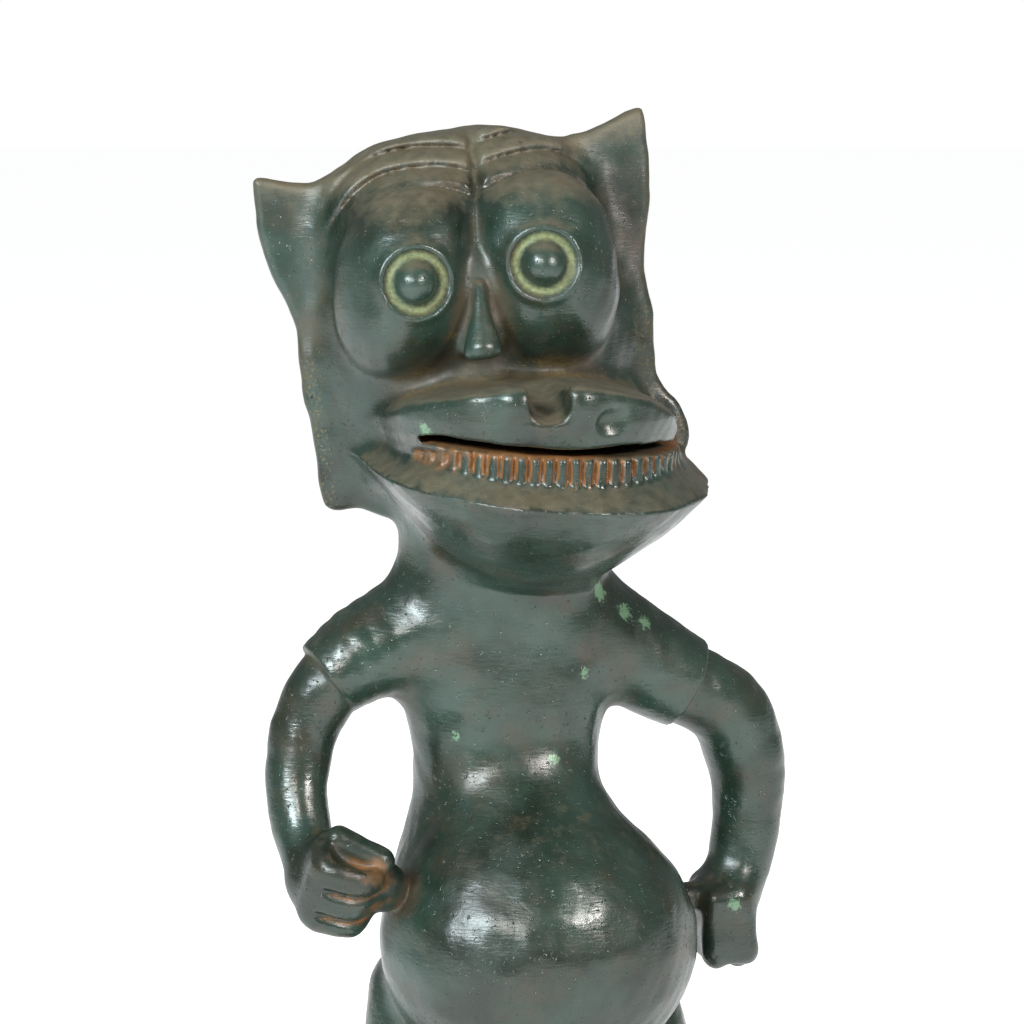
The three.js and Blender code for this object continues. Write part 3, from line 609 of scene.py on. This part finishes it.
def sample(distance):
    """Distances on a grid, worked out in full only in the blocks that the surface may cross."""
    size = SPACING * BLOCK
    counts = np.ceil((np.array(HIGH) - LOW) / size).astype(int)
    blocks = np.stack(np.meshgrid(*[np.arange(n) for n in counts], indexing="ij")).reshape(3, -1)
    middles = (column(LOW) + (blocks + 0.5) * size).astype(np.float32)
    rough = distance(middles)
    grid = rough.reshape(counts)
    for axis in range(3):
        grid = grid.repeat(BLOCK, axis)
    grid = np.pad(grid, ((0, 1), (0, 1), (0, 1)), mode="edge")
    crossed = blocks[:, np.abs(rough) < size * 1.25]
    crossed = crossed[:, np.argsort(crossed[2], kind="stable")]
    for start in range(0, crossed.shape[1], 120):
        index, points = block_points(crossed[:, start:start + 120].T * BLOCK)
        grid[tuple(index)] = distance(points)
    return grid


def is_pinched(mask):
    """Whether the inside or the outside of a cell's corners (the set and the clear bits of mask) meets
    itself only across a diagonal, so that the skin would meet itself too."""
    def side(corner):
        return mask >> corner & 1

    for a in range(8):
        for b in range(a):
            span = a ^ b
            others = [c for c in range(8) if c not in (a, b) and c & ~span == a & ~span]
            if others and side(a) == side(b) and all(side(c) != side(a) for c in others):
                return True
    return False


def corner_views(grid):
    """The grid's values at each of a cell's eight corners, for all cells."""
    views = []
    for corner in range(8):
        steps = (corner & 1, corner >> 1 & 1, corner >> 2)
        views.append(grid[tuple(slice(step, step + n - 1) for step, n in zip(steps, grid.shape))])
    return views


def fill_pinches(grid):
    """Takes corners into the inside, the nearest to it first, until nothing is pinched."""
    pinched = np.array([is_pinched(mask) for mask in range(256)])
    offsets = np.array([(c & 1, c >> 1 & 1, c >> 2) for c in range(8)])
    while True:
        mask = sum((view < 0).astype(np.uint8) << c for c, view in enumerate(corner_views(grid)))
        cells = np.argwhere(pinched[mask])
        if not len(cells):
            return
        for cell in cells:
            corners = [tuple(cell + offset) for offset in offsets]
            outside = [corner for corner in corners if grid[corner] >= 0]
            if outside:
                grid[min(outside, key=lambda corner: grid[corner])] = -SPACING / 4


def skin_points(grid):
    """One point for every cell that the surface crosses, at the mean of its crossings."""
    inside = sum((view < 0).astype(np.uint8) for view in corner_views(grid))
    cells = np.argwhere((inside > 0) & (inside < 8))
    number = np.full(inside.shape, -1, np.int32)
    number[tuple(cells.T)] = np.arange(len(cells))
    total = np.zeros((len(cells), 3))
    count = np.zeros((len(cells), 1))
    for axis in range(3):
        u, v = np.eye(3, dtype=int)[[(axis + 1) % 3, (axis + 2) % 3]]
        for offset in (0 * u, u, v, u + v):
            start = cells + offset
            end = start + np.eye(3, dtype=int)[axis]
            a, b = grid[tuple(start.T)], grid[tuple(end.T)]
            crosses = (a < 0) != (b < 0)
            share = np.where(crosses, a / np.where(crosses, a - b, 1), 0)
            total[crosses] += (offset + np.outer(share, np.eye(3)[axis]))[crosses]
            count[crosses] += 1
    return number, (cells + total / count) * SPACING + LOW


def skin_faces(grid, number):
    """A four-sided face for every grid edge that the surface crosses."""
    inside = grid < 0
    faces = []
    for axis in range(3):
        u, v = np.eye(3, dtype=int)[[(axis + 1) % 3, (axis + 2) % 3]]
        near, far = [slice(1, -1)] * 3, [slice(1, -1)] * 3
        near[axis], far[axis] = slice(0, -1), slice(1, None)
        start_inside, end_inside = inside[tuple(near)], inside[tuple(far)]
        first = np.ones(3, int)
        first[axis] = 0
        for leaving in (True, False):
            crossed = start_inside & ~end_inside if leaving else ~start_inside & end_inside
            edge = np.argwhere(crossed) + first
            ring = [number[tuple((edge + offset).T)] for offset in (-u - v, -v, 0 * u, -u)]
            faces.append(np.stack(ring if leaving else ring[::-1], 1))
    return np.vstack(faces)


def new_mesh(name, points, faces):
    mesh = bpy.data.meshes.new(name)
    mesh.vertices.add(len(points))
    mesh.vertices.foreach_set("co", points.ravel())
    mesh.loops.add(faces.size)
    mesh.loops.foreach_set("vertex_index", faces.ravel())
    mesh.polygons.add(len(faces))
    mesh.polygons.foreach_set("loop_start", np.arange(0, faces.size, faces.shape[1]))
    mesh.update()
    mesh.validate()
    return mesh


def add_figure():
    grid = sample(worked_figure())
    fill_pinches(grid)
    number, points = skin_points(grid)
    mesh = new_mesh("figure", points * MM, skin_faces(grid, number))
    piece = bpy.data.objects.new("figure", mesh)
    bpy.context.scene.collection.objects.link(piece)
    decimate = piece.modifiers.new("fewer_triangles", "DECIMATE")
    decimate.ratio = min(1, TRIANGLES / (2 * len(mesh.polygons)))
    depsgraph = bpy.context.evaluated_depsgraph_get()
    piece.data = bpy.data.meshes.new_from_object(piece.evaluated_get(depsgraph))
    piece.modifiers.clear()
    piece.data.name = "figure"
    piece.data.shade_smooth()
    print("figure:", len(points), "points,", len(piece.data.polygons), "triangles")
    return piece


# Marks: how strongly each kind of dirt, wear and growth shows at each point of the skin, from 0 to 1

# Places and sizes of the pale green spots
SPOTS = (
    ((-46.3, -53.2, 301), 5.5), ((2.7, -26.6, 190), 4), ((21, -18, 242.5), 6), ((30.5, -15, 235), 5.5),
    ((38, -14, 231), 4.5), ((69, -15, 134.5), 4.5), ((14, -22, 217), 4), ((-28, -19, 198), 3.5),
)


def hollows(form, points, normals, reach):
    """How far the surface around a point closes over it."""
    return clamp01(1 - form(points + normals * np.float32(reach)) / reach)


def edges(form, points, normals, reach):
    """How thin the body is under a point, which is where hands rub the finish off."""
    return clamp01(1 + form(points - normals * np.float32(reach)) / reach)


def ring_marks(p):
    marks = np.zeros(p.shape[1])
    local = HEAD_FRAME.local(p)
    for bulge in BULGES:
        radius = np.hypot(local[0] - bulge["eye"][0], local[2] - bulge["eye"][1])
        marks += bump(radius - EYE["ring"], EYE["ring_width"]) * (local[1] < -30)
    return marks


def rust_marks(p, hollow):
    """Orange-brown dirt between the teeth and in the folds of the fist."""
    between_teeth = clamp01(1.4 - teeth()(p) / 2) * clamp01(1.2 - np.abs(TEETH_FRAME.local(p)[2]) / 9)
    in_fist = clamp01(2 - np.linalg.norm(FIST_FRAME.local(p), axis=0) / 12)
    return clamp01(np.maximum(between_teeth, 0.8 * in_fist) * (1.9 * hollow - 0.1))


def dust_marks(p, normals):
    """Tan dust on what faces up, and all over the forehead."""
    on_top = clamp01((normals[2] - 0.35) / 0.5) * np.where(p[2] > 250, 0.8, 0.3)
    forehead = clamp01((HEAD_FRAME.local(p)[2] - 37) / 9) * clamp01(normals[2] + 0.7)
    return clamp01(np.maximum(on_top, 0.85 * forehead))


def ochre_marks(p, hollow):
    """Yellow-brown specks under the eye bulges and on the lower ears."""
    x, _, z = HEAD_FRAME.local(p)
    under_eyes = hollow * clamp01((4 - z) / 10) * clamp01((z + 34) / 8)
    on_ears = clamp01((np.abs(x) - 46) / 6) * clamp01((2 - z) / 12) * clamp01((z + 66) / 6)
    return clamp01(np.maximum(0.65 * under_eyes, 0.5 * on_ears))


def spot_marks(p):
    marks = np.zeros(p.shape[1])
    for at, radius in SPOTS:
        marks = np.maximum(marks, bump(np.linalg.norm(p - column(at), axis=0), radius))
    return marks


def add_marks(mesh):
    form = figure()
    points = np.empty(3 * len(mesh.vertices), np.float32)
    normals = points.copy()
    mesh.vertices.foreach_get("co", points)
    mesh.vertex_normals.foreach_get("vector", normals)
    points, normals = (rows.reshape(-1, 3).T for rows in (points / np.float32(MM), normals))
    fine, broad = (hollows(form, points, normals, reach) for reach in (2.5, 7))
    marks = {
        "hollow": clamp01(0.7 * fine + 0.6 * broad),
        "edge": edges(form, points, normals, 3.5),
        "eye_ring": ring_marks(points),
        "rust": rust_marks(points, fine),
        "dust": dust_marks(points, normals),
        "ochre": ochre_marks(points, broad),
        "verdigris": spot_marks(points),
    }
    for name, values in marks.items():
        mesh.attributes.new(name, "FLOAT", "POINT").data.foreach_set("value", values.astype(np.float32))


# Finish: each layer lies over the one before it

DARK_GREEN, TEAL = (0.006, 0.013, 0.007, 1), (0.017, 0.039, 0.028, 1)
BROWN, BARE = (0.030, 0.026, 0.013, 1), (0.12, 0.115, 0.10, 1)
DUST, DIRT, RUST = (0.145, 0.125, 0.078, 1), (0.075, 0.056, 0.029, 1), (0.20, 0.086, 0.022, 1)
OCHRE, RING_GREEN, VERDIGRIS = (0.17, 0.12, 0.028, 1), (0.16, 0.19, 0.07, 1), (0.12, 0.23, 0.13, 1)


def node(tree, kind, inputs=None, **settings):
    made = tree.nodes.new(kind)
    for name, value in settings.items():
        setattr(made, name, value)
    for name, value in (inputs or {}).items():
        if isinstance(value, bpy.types.NodeSocket):
            tree.links.new(value, made.inputs[name])
        else:
            made.inputs[name].default_value = value
    return made


def mixed(tree, factor, under, over):
    return node(tree, "ShaderNodeMix", {0: factor, 6: under, 7: over}, data_type="RGBA").outputs[2]


def worked_out(tree, operation, a, b):
    return node(tree, "ShaderNodeMath", {0: a, 1: b}, operation=operation).outputs[0]


def spread(tree, value, low, high, to_low=0.0, to_high=1.0):
    """Maps low to to_low and high to to_high, and stops there."""
    inputs = {"Value": value, "From Min": low, "From Max": high, "To Min": to_low, "To Max": to_high}
    return node(tree, "ShaderNodeMapRange", inputs).outputs["Result"]


def clouds(tree, place, scale, detail=5.0):
    inputs = {"Vector": place, "Scale": scale, "Detail": detail, "Roughness": 0.6}
    return node(tree, "ShaderNodeTexNoise", inputs).outputs[0]


def mark(tree, name):
    return node(tree, "ShaderNodeAttribute", attribute_name=name).outputs["Fac"]


def broken(tree, strength, texture, start, softness):
    """A layer that covers only where its strength and a texture add up to enough."""
    return spread(tree, worked_out(tree, "ADD", strength, texture), start, start + softness)


def bronze_colour(tree, place):
    grain, specks = clouds(tree, place, 240, 6), clouds(tree, place, 900, 4)
    colour = mixed(tree, spread(tree, clouds(tree, place, 28), 0.38, 0.62), DARK_GREEN, TEAL)
    colour = mixed(tree, spread(tree, clouds(tree, place, 52), 0.52, 0.70, 0, 0.75), colour, BROWN)
    layers = (
        # mark, texture, start, softness, cover, colour
        ("edge", grain, 1.05, 0.45, 0.40, BARE),
        ("dust", grain, 0.75, 0.85, 0.85, DUST),
        ("hollow", grain, 0.75, 0.75, 0.75, DIRT),
        ("ochre", specks, 1.02, 0.26, 0.65, OCHRE),
        ("rust", grain, 0.70, 0.70, 0.90, RUST),
        ("eye_ring", specks, 1.05, 0.60, 0.90, RING_GREEN),
        ("verdigris", specks, 1.22, 0.16, 0.80, VERDIGRIS),
    )
    for name, texture, start, softness, cover, over in layers:
        shown = broken(tree, mark(tree, name), texture, start, softness)
        colour = mixed(tree, worked_out(tree, "MULTIPLY", shown, cover), colour, over)
    return colour


def bronze_roughness(tree, place):
    dull = worked_out(tree, "MAXIMUM", mark(tree, "dust"), mark(tree, "hollow"))
    dull = worked_out(tree, "MAXIMUM", dull, mark(tree, "eye_ring"))
    shine = spread(tree, clouds(tree, place, 90), 0.35, 0.7, 0.22, 0.36)
    return worked_out(tree, "ADD", shine, worked_out(tree, "MULTIPLY", dull, 0.33))


def bronze_relief(tree, place):
    """Pits, a rubbed grain and fine scratches."""
    drawn_out = {"Vector": place, "Rotation": (0.5, 0.8, 0.3), "Scale": (1, 1, 6)}
    streaks = node(tree, "ShaderNodeMapping", drawn_out)
    scratches = clouds(tree, streaks.outputs[0], 190, 3)
    pits = spread(tree, clouds(tree, place, 620, 2), 0.24, 0.36)
    lumps = clouds(tree, place, 170, 4)
    height = worked_out(tree, "ADD", worked_out(tree, "MULTIPLY", scratches, 0.4), pits)
    height = worked_out(tree, "ADD", height, worked_out(tree, "MULTIPLY", lumps, 0.9))
    return node(tree, "ShaderNodeBump", {"Height": height, "Strength": 0.55, "Distance": 0.0004}).outputs[0]


def bronze():
    material = bpy.data.materials.new("bronze")
    material.use_nodes = True
    tree = material.node_tree
    shader = tree.nodes["Principled BSDF"]
    shader.inputs["Metallic"].default_value = 0.15
    shader.inputs["IOR"].default_value = 1.6
    place = node(tree, "ShaderNodeTexCoord").outputs["Object"]
    tree.links.new(bronze_colour(tree, place), shader.inputs["Base Color"])
    tree.links.new(bronze_roughness(tree, place), shader.inputs["Roughness"])
    tree.links.new(bronze_relief(tree, place), shader.inputs["Normal"])
    return material


# Camera, lights and floor

CAMERA = {"azimuth": -16, "elevation": 8, "distance": 1.1, "target": (-0.0034, 0, 0.267), "lens": 118.99}


def add_camera():
    data = bpy.data.cameras.new("camera")
    data.sensor_width = 36
    data.lens = CAMERA["lens"]
    camera = bpy.data.objects.new("camera", data)
    bpy.context.scene.collection.objects.link(camera)
    azimuth, elevation = math.radians(CAMERA["azimuth"]), math.radians(CAMERA["elevation"])
    level = math.cos(elevation)
    back = Vector((math.sin(azimuth) * level, -math.cos(azimuth) * level, math.sin(elevation)))
    camera.location = Vector(CAMERA["target"]) + back * CAMERA["distance"]
    camera.rotation_mode = "QUATERNION"
    camera.rotation_quaternion = (-back).to_track_quat("-Z", "Y")
    bpy.context.scene.camera = camera


# Name, place in metres, size, power and colour of each lamp
LAMPS = (
    ("left_softbox", (-1.2, -0.8, 0.98), 0.42, 30, (0.86, 0.95, 1)),
    ("front_lamp", (-0.7, -1.05, 0.92), 0.13, 6, (1, 0.9, 0.88)),
    ("right_softbox", (0.55, -1.1, 0.85), 0.24, 14, (1, 0.9, 0.88)),
)
LAMPS_AIM = (0, 0, 0.2)
# The white surroundings are dimmer as light than as background, so that the dark cast keeps its depth
WORLD_LIGHT = 0.27
FLOOR = {"radius": 12, "glow": 0.74}


def add_lamps():
    for name, place, size, power, color in LAMPS:
        data = bpy.data.lights.new(name, "AREA")
        data.size = size
        data.energy = power
        data.color = color
        lamp = bpy.data.objects.new(name, data)
        bpy.context.scene.collection.objects.link(lamp)
        lamp.location = place
        lamp.rotation_mode = "QUATERNION"
        lamp.rotation_quaternion = (Vector(place) - Vector(LAMPS_AIM)).to_track_quat("Z", "Y")


def add_floor():
    bpy.ops.mesh.primitive_circle_add(vertices=96, radius=FLOOR["radius"], fill_type="NGON")
    floor = bpy.context.object
    floor.name = "floor"
    material = bpy.data.materials.new("pale_floor")
    material.use_nodes = True
    shader = material.node_tree.nodes["Principled BSDF"]
    shader.inputs["Base Color"].default_value = (0.88, 0.9, 0.9, 1)
    shader.inputs["Roughness"].default_value = 0.8
    shader.inputs["Emission Color"].default_value = (1, 1, 1, 1)
    shader.inputs["Emission Strength"].default_value = FLOOR["glow"]
    floor.data.materials.append(material)


def add_world():
    world = bpy.data.worlds.new("studio")
    world.use_nodes = True
    tree = world.node_tree
    light = tree.nodes["Background"]
    light.inputs["Color"].default_value = (1, 1, 1, 1)
    light.inputs["Strength"].default_value = WORLD_LIGHT
    white = node(tree, "ShaderNodeBackground", {"Color": (1, 1, 1, 1), "Strength": 1.0})
    seen = node(tree, "ShaderNodeLightPath").outputs["Is Camera Ray"]
    both = node(tree, "ShaderNodeMixShader", {0: seen, 1: light.outputs[0], 2: white.outputs[0]})
    tree.links.new(both.outputs[0], tree.nodes["World Output"].inputs["Surface"])
    bpy.context.scene.world = world
    bpy.context.scene.view_settings.view_transform = "Standard"


piece = add_figure()
add_marks(piece.data)
piece.data.materials.append(bronze())
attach(piece, "root")
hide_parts("ancestor_figure")
add_camera()
add_lamps()
add_world()
add_floor()
